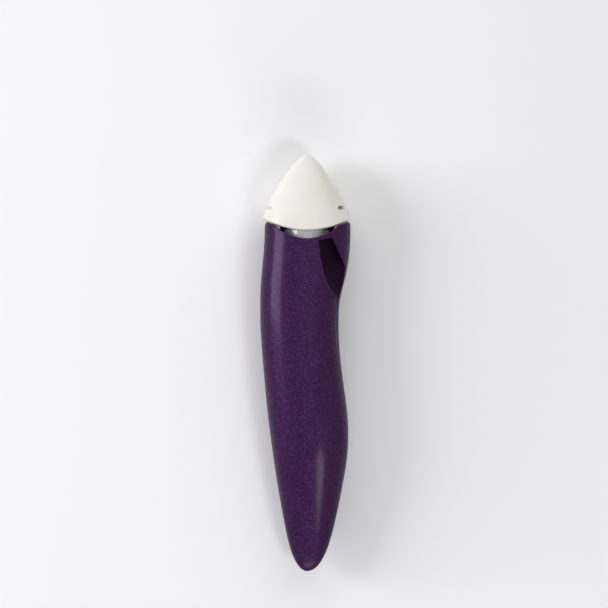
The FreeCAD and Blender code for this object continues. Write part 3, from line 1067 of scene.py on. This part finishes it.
    def station_at(
        self, column: Array, limit: Callable[[Array], Array], half: Half, inner: bool,
    ) -> Array:
        """Station at which each column crosses a line in plan.

        Args:
            column: the columns.
            limit: Y of the line at X.
            half: which shell.
            inner: for the inside of the wall.

        Returns:
            One station for each column.
        """
        def past(station: Array) -> Array:
            """Whether the columns have crossed the line at their stations."""
            x, _ = self.section(station, self.spread(column, station, half), half, inner, 0.0)
            return station - self.length > limit(x)

        low = np.full(column.shape, self.length - 12.0)
        high = np.full(column.shape, self.length + self.shoulder - 0.01)
        low, high = halved(low, high, past, 40)
        return (low + high) / 2

    def floor(self, x: Array, y: Array) -> Array:
        """Z of the scoop's floor: at each Y a shallow parabola hung from the crease to the foot.

        The point at a share s of the chord is sunk square to it by 4 h s (1 - s), h being the
        hollow's share of the chord. The share for an X is the root of the quadratic in s.

        Args:
            x: X of the points.
            y: their Y.

        Returns:
            Z of the floor there.
        """
        crease_x = self.crease(-y)
        _, right, front, _ = self.reaches(y + self.length, False)
        height = np.interp(crease_x / np.maximum(right, 0.01), self.unit_x, self.unit_z) * front
        crease_z = height - self.step(-y)
        across = self.foot_x(-y) - crease_x
        drop = crease_z - self.foot_z(-y)
        square = 4 * self.scoop_hollow * np.maximum(drop, 0.1)
        slant = across - square
        past = np.clip(x - crease_x, 0, None)
        share = (-slant + np.sqrt(slant ** 2 + 4 * square * past)) / (2 * square)
        return crease_z - share * drop - 4 * self.scoop_hollow * share * (1 - share) * across

    def columns(self, half: Half) -> tuple[Array, Array]:
        """Column positions and which of them lie on the scoop's floor.

        Args:
            half: which shell.

        Returns:
            The positions, and True for each that lies on the floor.
        """
        if half is Half.BACK:
            return 3 * eased(self.back_columns), np.zeros(self.back_columns, bool)
        parts = [number + eased(count) for number, count in enumerate(self.front_columns)]
        return np.concatenate(parts), np.repeat([False, True, False], self.front_columns)

    def grid(self, half: Half, inner: bool) -> tuple[Array, Array]:
        """One face of a shell as a grid of points, tail tip first, and the weight of its scoop's
        flake-free finish and painted shade.

        Args:
            half: which shell.
            inner: for the inside of the wall.

        Returns:
            Rows by columns of points, and that weight for each.
        """
        column, on_floor = self.columns(half)
        end = self.station_at(column, self.mouth, half, inner)
        top = np.minimum(self.station_at(column, self.top_y, half, inner), end - 0.05)
        barrel_end = self.length - self.rim_reach
        tail = self.tail * (1 - np.cos(np.linspace(0, math.pi / 2, self.tail_rows)))
        barrel = np.linspace(self.tail, barrel_end, self.barrel_rows + 1)[1:]
        share = np.concatenate([tail, barrel]) / barrel_end
        rim = np.concatenate([[0.0], 1 - (1 - eased(self.rim_rows)[1:]) ** 1.5])
        lower = share[:, None] * top
        upper = top + rim[:, None] * (end - top)
        station = np.concatenate([lower, upper])
        below_top = np.arange(len(station)) < len(share)
        if inner:
            start = self.inner_tail_start
            station = start + station * (end - start) / end
        turn = self.spread(column, station, half)
        inset = np.zeros_like(station) if inner else rolled(end - station, self.mouth_round)
        x, z = self.section(station, turn, half, inner, inset)
        y = station - self.length
        smooth_shade_zone = np.zeros_like(x)
        if inner:
            if half is Half.FRONT:
                z = np.minimum(z, self.backed(x, y))
            radius = np.hypot(x, z)
            bored = (radius < self.guide_radius) & (y > -self.stop_back)
            grow = np.where(bored, self.guide_radius / np.maximum(radius, 0.01), 1.0)
            x, z = x * grow, z * grow
        else:
            x = x - np.sign(x) * rolled(z, self.parting_round)
            if half is Half.FRONT:
                z, smooth_shade_zone = self.scooped(x, y, z, on_floor[None, :] & below_top[:, None])
            else:
                z = np.minimum(z, self.core + self.land_depth)
        return np.stack([x, y, z * half.value], -1), smooth_shade_zone

    def scooped(self, x: Array, y: Array, z: Array, inside: Array) -> tuple[Array, Array]:
        """Sink the front face into the finger scoop, and raise the thin lip beside its crease.

        Args:
            x: X of the points.
            y: their Y.
            z: their Z.
            inside: which of them lie within the scoop's edges.

        Returns:
            The new Z, and the weight of the scoop's flake-free finish and painted shade.
        """
        end = self.scoop_table[-1][0]
        inside = inside & (y > -end)
        sunk = np.where(inside, np.minimum(z, self.floor(x, y)), z)
        fade = np.clip((end + y) / (end + self.scoop_kink), 0, 1)
        # painted shade of the scoop: full above the kink and a fading share below it. The same
        # weight takes away the flakes and coat.
        smooth_painted_shade = np.where(y > self.scoop_kink, 1.0, self.kink_shade_zone * fade)
        smooth_shade_zone = smooth_painted_shade * (inside & (z - sunk > 0.01))
        away = self.crease(-y) - x
        below_top = np.clip((self.top_y(x) - y) / 0.6 + 0.5, 0, 1)
        lip = self.lip_height * np.exp(-(away / self.lip_width) ** 2) * fade * below_top
        return np.where(inside | (away < -0.01), sunk, z + lip), smooth_shade_zone

    def backed(self, x: Array, y: Array) -> Array:
        """Highest Z of the inside behind the scoop: its floor moved in by the wall, with ramps
        that rise away from its edges.

        Args:
            x: X of the points.
            y: their Y.

        Returns:
            The highest Z there.
        """
        wall = self.wall
        sides = (
            x - self.edge_x(y), y - self.top_y(x) - wall, self.crease(-y) - wall - x,
            -self.scoop_deep - y,
        )
        past = sum(np.clip(side, 0, None) for side in sides)
        return self.floor(x + wall, y) - wall + self.ramp * past

    def ribs(self, half: Half) -> Shape:
        """The guide ribs of one shell: half rings from the wall to the tube's guide bore, and
        the stop wall behind them.

        Args:
            half: which shell.

        Returns:
            All of them as one shape.
        """
        column = np.linspace(0, 3, 61)
        plates = []
        places = np.linspace(-self.rib_first, -self.rib_last, self.rib_count)
        rib = self.rib_thickness
        spans = [(y - rib / 2, y + rib / 2, self.guide_radius) for y in places]
        spans.append((-self.stop_back - rib, -self.stop_back, 0.0))
        for low, high, bore in spans:
            middle = np.full_like(column, (low + high) / 2)
            turn = self.spread(column, middle + self.length, half)
            x, z = self.section(middle + self.length, turn, half, True, -0.1)
            if half is Half.FRONT:
                z = np.minimum(z, self.backed(x, middle) + 0.1)
            outer = np.maximum(np.hypot(x, z), bore + 0.02)
            angle = np.arctan2(z, x)
            inside = np.full_like(x, bore)
            radius = np.stack([outer, outer, inside, inside, outer])
            y = np.array([low, high, high, low, low])[:, None] + 0 * radius
            across, up = radius * np.cos(angle), radius * np.sin(angle) * half.value
            ring = np.stack([across, y, up], -1)
            plates.append(Shape.grid(ring))
            for side in (0, -1):
                plates.append(Shape.grid(np.stack([ring[(0, 1), side], ring[(3, 2), side]])))
        return Shape.join(*plates)

    def build(self, workshop: Workshop, finish: bpy.types.Material) -> None:
        """Build and dress both shells and their ribs.

        Args:
            workshop: makes the pieces.
            finish: their plastic.
        """
        for half, node in ((Half.FRONT, "handle_front_shell"), (Half.BACK, "handle_back_shell")):
            outer, smooth_shade_zone = self.grid(half, False)
            inner, _ = self.grid(half, True)
            wall = Shape.walled(outer, inner, mask=smooth_shade_zone)
            shell = workshop.mesh(node.replace("handle", "handle_moulded"), wall)
            workshop.finish(shell, Body.HANDLE, "handle_plastic", finish, node)
            ribs = workshop.mesh(node.replace("shell", "ribs"), self.ribs(half))
            workshop.finish(ribs, Body.HANDLE, "handle_plastic", finish)


# ---------------- cap

@dataclass
class Cap:
    """The protective cap: a rounded-triangle pillow with a slot in each side."""

    seat: Seat
    half_width: float = 11.7
    half_depth: float = 8.5
    rise: float = 16.6
    wall: float = 1.1
    tip_span: float = 3.2
    fullness: float = 0.68
    rim_round: float = 0.70
    slot_rise: float = 2.6
    slot_height: float = 1.0
    slot_slant: float = 14.0
    slot_reach_left: float = 1.5
    slot_reach_right: float = 2.6
    side_handle: tuple = (0.785, 0.434)
    side_ease: tuple = (0.85, 0.4)
    depth_handle: tuple = (0.95, 0.55)
    depth_ease: tuple = (1.0, 0.3)
    tip_ease: float = 0.55
    steps: int = 280
    crown_start: float = 0.5
    tool_reach: float = 20.0

    def __post_init__(self) -> None:
        """Place the cap's corners on the seat."""
        self.corner_y = float(self.seat.height(np.array(self.half_width)))

    def outline(self, half: float, handle: tuple, ease: tuple, inset: float) -> SideOutline:
        """An outline from the tip to the corner, moved inwards.

        Args:
            half: half-width at the corner.
            handle: the corner handle's shares of the half-width and of the rise.
            ease: how far that handle moves for each unit of inset.
            inset: how far the outline lies inside.

        Returns:
            The outline.
        """
        rise = self.rise - inset
        return SideOutline((
            (0, rise),
            (self.tip_span - self.tip_ease * inset, rise),
            (handle[0] * half - ease[0] * inset, handle[1] * self.rise - ease[1] * inset),
            (half - inset, 0),
        ))

    def plan(self, inset: float) -> SideOutline:
        """Side outline, moved inwards by an inset."""
        return self.outline(self.half_width, self.side_handle, self.side_ease, inset)

    def depth(self, inset: float) -> SideOutline:
        """Depth outline: fuller than the plan, so that the tip stays blunt."""
        return self.outline(self.half_depth, self.depth_handle, self.depth_ease, inset)

    def grid(self, inset: float) -> Array:
        """One face of the cap: rounded squares stacked from the seat arc to the tip.

        Args:
            inset: 0 for the outside and the wall for the inside.

        Returns:
            Rows by columns of points, the rim first.
        """
        turn = np.linspace(0, 4, self.steps, endpoint=False)
        plan, depth = self.plan(inset), self.depth(inset)
        unit_x, unit_z = quarter(turn, self.fullness)
        start = np.zeros_like(turn)
        for _ in range(12):
            start = self.seat.height(plan(start - self.corner_y) * unit_x)
        skirt = np.concatenate([[0.0, 0.04, 0.09, 0.16], np.linspace(0.25, 1, 12)])
        low = self.crown_start
        lower = start + skirt[:, None] * (self.corner_y + low - start)
        crown = np.sin(np.linspace(0, math.pi / 2, 70)) * (self.rise - inset - low) + low
        upper = (self.corner_y + crown[1:])[:, None] + 0 * turn
        y = np.concatenate([lower, upper])
        height = y - self.corner_y
        roll = 0.0 if inset else rolled(np.clip(y - start, 0, None) * 1.3, self.rim_round)
        half_width = np.clip(plan(height) - roll, 0, None)
        half_depth = np.clip(depth(height) - roll, 0, None)
        return np.stack([half_width * unit_x, y, half_depth * unit_z], -1)

    def slot_tool(self, side: int, reach: float) -> Shape:
        """A slanted slot with a round inner end, as an upright prism.

        Args:
            side: -1 left, 1 right.
            reach: how far it runs in from the cap's side.

        Returns:
            The closed prism.
        """
        radius = self.slot_height / 2
        edge = float(self.plan(0.0)(np.array(self.slot_rise)))
        around = np.linspace(math.pi / 2, 3 * math.pi / 2, 17)
        x = np.concatenate([radius * np.cos(around), [self.tool_reach] * 2])
        y = np.concatenate([radius * np.sin(around), [-radius, radius]])
        tilt = math.radians(self.slot_slant)
        across = x * math.cos(tilt) - y * math.sin(tilt)
        along = x * math.sin(tilt) + y * math.cos(tilt)
        middle_x, middle_y = np.mean(across[:-2]), np.mean(along[:-2])
        outline_x = side * (edge - reach + radius + across)
        outline_y = self.corner_y + self.slot_rise + along
        hub_x = side * (edge - reach + radius + middle_x + 1.0)
        hub_y = self.corner_y + self.slot_rise + middle_y
        share = np.array([0.0, 1.0, 1.0, 0.0])[:, None]
        z = np.array([-1, -1, 1, 1])[:, None] * self.tool_reach + 0 * x
        across = hub_x + (outline_x - hub_x) * share
        along = hub_y + (outline_y - hub_y) * share
        return Shape.grid(np.stack([across, along, z], -1), wrap=True)

    def build(self, workshop: Workshop, finish: bpy.types.Material) -> None:
        """Build the cap, cut its slots and dress it.

        Args:
            workshop: makes the pieces.
            finish: its plastic.
        """
        shape = Shape.walled(self.grid(0.0), self.grid(self.wall), wrap=True)
        cap = workshop.mesh("cap_moulded", self.without_tip_strip(shape))
        reaches = ((-1, self.slot_reach_left), (1, self.slot_reach_right))
        workshop.cut(cap, [self.slot_tool(side, reach) for side, reach in reaches])
        workshop.finish(cap, Body.CAP, "cap_plastic", finish, "protective_cap")

    @staticmethod
    def without_tip_strip(shape: Shape) -> Shape:
        """Drop the strip that would join the two tips, which are poles and close by themselves.

        Args:
            shape: the cap's closed wall.

        Returns:
            The wall without that strip.
        """
        a, b, c, d = (shape.vertices[shape.faces[:, corner]] for corner in range(4))
        longest = np.maximum(np.linalg.norm(a - b, axis=1), np.linalg.norm(c - d, axis=1))
        sides = np.minimum(np.linalg.norm(b - c, axis=1), np.linalg.norm(d - a, axis=1))
        pole_strip = (longest < 1e-6) & (sides > 0.3)
        return Shape(shape.vertices, shape.faces[~pole_strip], shape.mask)


# ---------------- cartridge

@dataclass
class Cartridge:
    """The clear tube with its plug, its powder and the white nose on its mouth."""

    seat: Seat
    tube_radius: float = 7.2
    tube_bore: float = 6.1
    tube_length: float = 55.0
    press_gap: float = 0.02
    plug_flange: float = 1.5
    plug_depth: float = 4.0
    plug_wall: float = 1.1
    powder_length: float = 7.0
    powder_dome: float = 3.3
    dome_share: float = 0.92
    powder_gap: float = 0.05
    stem_length: float = 6.5
    feed_radius: float = 3.4
    feed_throat: float = 0.71

    def tube(self) -> Shape:
        """The tube: two coaxial cylinders whose mouth rows rise to the seat arc at each X.

        Returns:
            The closed tube.
        """
        angle = np.linspace(0, 2 * math.pi, 128, endpoint=False)
        inner_rows = np.linspace(0.02, 0.98, 30)
        share = np.concatenate([[0.0, 0.002, 0.006], inner_rows, [0.994, 0.998, 1.0]])
        faces = []
        for radius, inwards in ((self.tube_radius, 1), (self.tube_bore, -1)):
            end = self.seat.height(radius * np.cos(angle), self.press_gap)
            y = -self.tube_length + share[:, None] * (end + self.tube_length)
            from_edge = np.minimum(share, 1 - share)[:, None] * self.tube_length
            reach = radius - inwards * rolled(from_edge, 0.15)
            faces.append(np.stack([reach * np.cos(angle), y, reach * np.sin(angle)], -1))
        return Shape.walled(*faces, wrap=True)

    def plug(self) -> Shape:
        """The plug: one turned profile, from its flange's centre to its hollow's floor.

        Returns:
            The closed plug.
        """
        end, flange = -self.tube_length, -self.tube_length - self.plug_flange
        spigot = self.tube_bore - self.press_gap
        hollow = spigot - self.plug_wall
        mouth = end + self.plug_depth
        profile = [
            (0.0, flange), (self.tube_radius, flange), (self.tube_radius, end), (spigot, end),
            (spigot, mouth), (hollow, mouth), (hollow, end), (0.0, end),
        ]
        return Turned.along_y(Turned.rounded(profile, 0.3), 96)

    def powder(self) -> Shape:
        """The powder: a turned profile, domed at its far end, with its surface heaped by waves.

        Returns:
            The closed heap.
        """
        radius = self.tube_bore - self.powder_gap
        front = -self.stem_length - self.powder_gap
        back = front - self.powder_length
        out = np.linspace(0, 1, 40)
        sunk = 1 - np.sqrt(1 - (self.dome_share * out) ** 2)
        dome = back + self.powder_dome * sunk / sunk[-1]
        bore = self.feed_radius - self.powder_gap
        throat = self.feed_throat - self.powder_gap
        end = [[radius, front], [bore, front], [bore, throat], [0.0, throat]]
        heap = Turned.along_y(np.vstack([np.stack([radius * out, dome], -1), end]), 96)
        x, y, z = heap.vertices.T
        ripple = 0.10 * np.sin(2.1 * x + 0.7) * np.sin(1.7 * z + 0.3)
        ripple = ripple + 0.05 * np.sin(4.3 * x - 3.9 * z)
        inside = np.clip(1 - np.hypot(x, z) / radius, 0, 1)
        heap.vertices[:, 1] = y - ripple * np.where(y < front - 1.0, inside, 0.0)
        return heap

    def build(
        self, workshop: Workshop, clear: bpy.types.Material, white: bpy.types.Material,
        chalk: bpy.types.Material,
    ) -> None:
        """Build and dress the tube, the plug, the powder and the nose.

        Args:
            workshop: makes the pieces.
            clear: the tube's plastic.
            white: the plastic of the plug and the nose.
            chalk: the powder.
        """
        tube = workshop.mesh("clear_tube_drawn", self.tube())
        workshop.finish(tube, Body.CARTRIDGE, "clear_tube", clear, "cartridge_tube")
        plug = workshop.mesh("end_plug_moulded", self.plug())
        workshop.finish(plug, Body.CARTRIDGE, "white_plastic", white, "cartridge_end_plug")
        powder = workshop.mesh("chalk_powder_heap", self.powder())
        workshop.finish(powder, Body.CARTRIDGE, "chalk", chalk, "chalk_fill")
        workshop.keep("nose_housing", white)


# ---------------- wheel

@dataclass
class Wheel:
    """The toothed wheel and its headed axle."""

    centre_y: float = 8.51
    radius: float = 4.45
    edge: float = 0.30
    thickness: float = 0.80
    teeth: int = 44
    tooth_depth: float = 0.42
    bevel: float = 0.6
    bore: float = 0.80
    axle_radius: float = 0.75
    head_radius: float = 1.27
    head_height: float = 0.55
    head_base: float = 0.45
    axle_root: float = -2.88
    groove: tuple = (2.6, 2.72, 3.02, 3.14)
    groove_depth: float = 0.05
    teeth_steps: int = 4
    edge_break: float = 0.12

    def disc(self) -> Shape:
        """The wheel: its rim radius is a zigzag round the axle, and its faces are bevelled
        towards the rim, so that the edge is thin at the teeth's tips.

        Returns:
            The closed disc, with its bore.
        """
        step = np.arange(self.teeth * self.teeth_steps)
        angle = 2 * math.pi * step / len(step)
        wave = np.abs((step % self.teeth_steps) / self.teeth_steps - 0.5) * 2
        root = self.radius - self.tooth_depth
        rim = root + self.tooth_depth * wave
        flat, half = root - self.bevel, self.thickness / 2
        rim_z = half - (half - self.edge / 2) * (rim - flat) / (self.radius - flat)
        start, fall, rise, end = self.groove
        low = half - self.groove_depth
        face = [
            (self.bore, half - 0.06), (self.bore + 0.08, half), (start, half), (fall, low),
            (rise, low), (end, half), (flat, half), (rim, rim_z),
        ]
        back = [(radius, -z) for radius, z in face]
        rows = [(radius + 0 * rim, z + 0 * rim) for radius, z in back + face[::-1] + back[:1]]
        radius, z = np.moveaxis(np.array(rows), 1, 0)
        x, y = radius * np.cos(angle), self.centre_y + radius * np.sin(angle)
        return Shape.grid(np.stack([x, y, z], -1), wrap=True)

    def axle(self) -> Shape:
        """The axle: a turned profile with a shallow domed head.

        Returns:
            The closed pin.
        """
        dome = np.linspace(0, math.pi / 2, 12)
        brow = self.head_base + 0.45 * self.head_height
        crown = brow + 0.55 * self.head_height * np.sin(dome)
        head = np.stack([self.head_radius * np.cos(dome), crown], -1)
        radius, root, edge = self.axle_radius, self.axle_root, self.edge_break
        shaft = [
            [0.0, root], [radius - edge, root], [radius, root + edge], [radius, self.head_base],
            [self.head_radius, self.head_base],
        ]
        profile = np.vstack([shaft, head])
        profile[-1, 0] = 0.0
        return Turned.upright(profile, self.centre_y, 64)

    def build(
        self, workshop: Workshop, steel: bpy.types.Material, white: bpy.types.Material,
    ) -> None:
        """Build and dress the wheel and its axle.

        Args:
            workshop: makes the pieces.
            steel: the wheel's metal.
            white: the axle's plastic.
        """
        disc = workshop.mesh("wheel_disc_toothed", self.disc())
        workshop.finish(disc, Body.WHEEL, "wheel_metal", steel, "toothed_wheel")
        axle = workshop.mesh("axle_pin_headed", self.axle())
        workshop.finish(axle, Body.CARTRIDGE, "white_plastic", white, "wheel_axle")


# ---------------- studio

@dataclass(frozen=True)
class Softbox:
    """A soft square or oblong lamp that looks at the marker."""

    name: str
    place: tuple[float, float, float]
    size: tuple[float, float]
    power: float
    colour: tuple[float, float, float] = (1.0, 1.0, 1.0)

    def build(self, target: Vector) -> None:
        """Add the lamp, aimed at the target.

        Args:
            target: the point that it looks at.
        """
        lamp = bpy.data.lights.new(self.name, "AREA")
        lamp.shape = "RECTANGLE"
        lamp.size, lamp.size_y = self.size
        lamp.energy = self.power
        lamp.color = self.colour
        holder = bpy.data.objects.new(self.name, lamp)
        holder.location = self.place
        holder.rotation_euler = (target - Vector(self.place)).to_track_quat("-Z", "Y").to_euler()
        bpy.context.scene.collection.objects.link(holder)


@dataclass
class Studio:
    """The floor, the lamps, the world and the camera straight above the marker."""

    datum: Datum
    photo_pixels: float = 608.0
    pixels_per_mm: float = 3.8
    centre_x: float = -0.8
    centre_y: float = 6.8
    distance: float = 0.70
    floor_half: float = 3.0
    world_strength: float = 0.20
    softboxes: tuple = (
        Softbox("left_panel", (-0.57, 0.10, 0.30), (0.22, 0.38), 2.7, (0.95, 0.93, 1.0)),
        Softbox("overhead", (0.10, 0.05, 1.00), (0.34, 0.60), 0.35),
        Softbox("head_fill", (0.12, 0.75, 0.55), (1.20, 0.80), 4.1),
        Softbox("tail_spot", (0.31, -0.33, 0.69), (0.16, 0.20), 1.2, (0.94, 0.95, 1.0)),
        Softbox("tail_low", (0.05, -0.62, 0.30), (0.40, 0.22), 1.3),
    )

    def build(self) -> None:
        """Make the whole studio."""
        self.floor()
        self.world()
        target = Vector((0.0, 0.0, self.datum.axis_z * MM))
        for softbox in self.softboxes:
            softbox.build(target)
        self.camera()

    def floor(self) -> None:
        """The plain pale floor at the level that the marker lies on."""
        across = np.linspace(-self.floor_half, self.floor_half, 3)
        x, y = np.meshgrid(across, across)
        sheet = Shape.grid(np.stack([x, y, 0 * x], -1))
        mesh = bpy.data.meshes.new("studio_floor")
        mesh.from_pydata(sheet.vertices.tolist(), [], sheet.faces.tolist())
        mesh.materials.append(StudioFloor().build())
        plane = bpy.data.objects.new("studio_floor", mesh)
        bpy.context.scene.collection.objects.link(plane)

    def world(self) -> None:
        """A soft even world that looks white to the camera, in gloss and through clear plastic."""
        world = bpy.data.worlds.new("studio_world")
        world.use_nodes = True
        tree = Tree(world.node_tree)
        rays = tree.node("ShaderNodeLightPath").outputs
        seen = Value(tree, rays["Is Camera Ray"])
        for kind in ("Is Glossy Ray", "Is Transmission Ray"):
            seen = seen.or_more(rays[kind])
        strength = seen * (1 - self.world_strength) + self.world_strength
        background = tree.node(
            "ShaderNodeBackground", {}, {"Color": rgba(1.0, 1.0, 1.0), "Strength": strength})
        tree.node("ShaderNodeOutputWorld", {}, {"Surface": background.outputs[0]})
        bpy.context.scene.world = world

    def camera(self) -> None:
        """The camera: a straight look at the front, at the photo's scale on the parting plane."""
        lens = bpy.data.cameras.new("camera")
        seen_width = self.photo_pixels / self.pixels_per_mm * MM
        lens.lens = lens.sensor_width * self.distance / seen_width
        holder = bpy.data.objects.new("camera", lens)
        height = self.datum.axis_z * MM + self.distance
        holder.location = (self.centre_x * MM, self.centre_y * MM, height)
        bpy.context.scene.collection.objects.link(holder)
        bpy.context.scene.camera = holder


# ---------------- all together

@dataclass
class Marker:
    """The whole marker."""

    seat: Seat = Seat()

    def build(self) -> Datum:
        """Build every sub-assembly in order.

        Returns:
            The datum that they were placed by.
        """
        cartridge = Cartridge(self.seat)
        datum = Datum.from_tube(cartridge.tube_length)
        workshop = Workshop(datum)
        pearl = PearlPlastic().build()
        cream = WhitePlastic(
            "cream_plastic", rgba(0.86, 0.845, 0.775), rgba(0.83, 0.79, 0.68), 0.20, 0.006).build()
        white = WhitePlastic(
            "white_plastic", rgba(0.84, 0.83, 0.80), rgba(0.79, 0.78, 0.745), 0.30, 0.010).build()
        wheel = Wheel()
        Handle(self.seat).build(workshop, pearl)
        cartridge.build(workshop, ClearPlastic().build(), white, ChalkPowder().build())
        steel = BrushedSteel(wheel.centre_y + datum.seat_y).build()
        wheel.build(workshop, steel, white)
        Cap(self.seat).build(workshop, cream)
        return datum


def main() -> None:
    """Build the marker and its studio."""
    bpy.context.scene.view_settings.view_transform = "Standard"
    datum = Marker().build()
    Studio(datum).build()


if __name__ == "__main__":
    main()
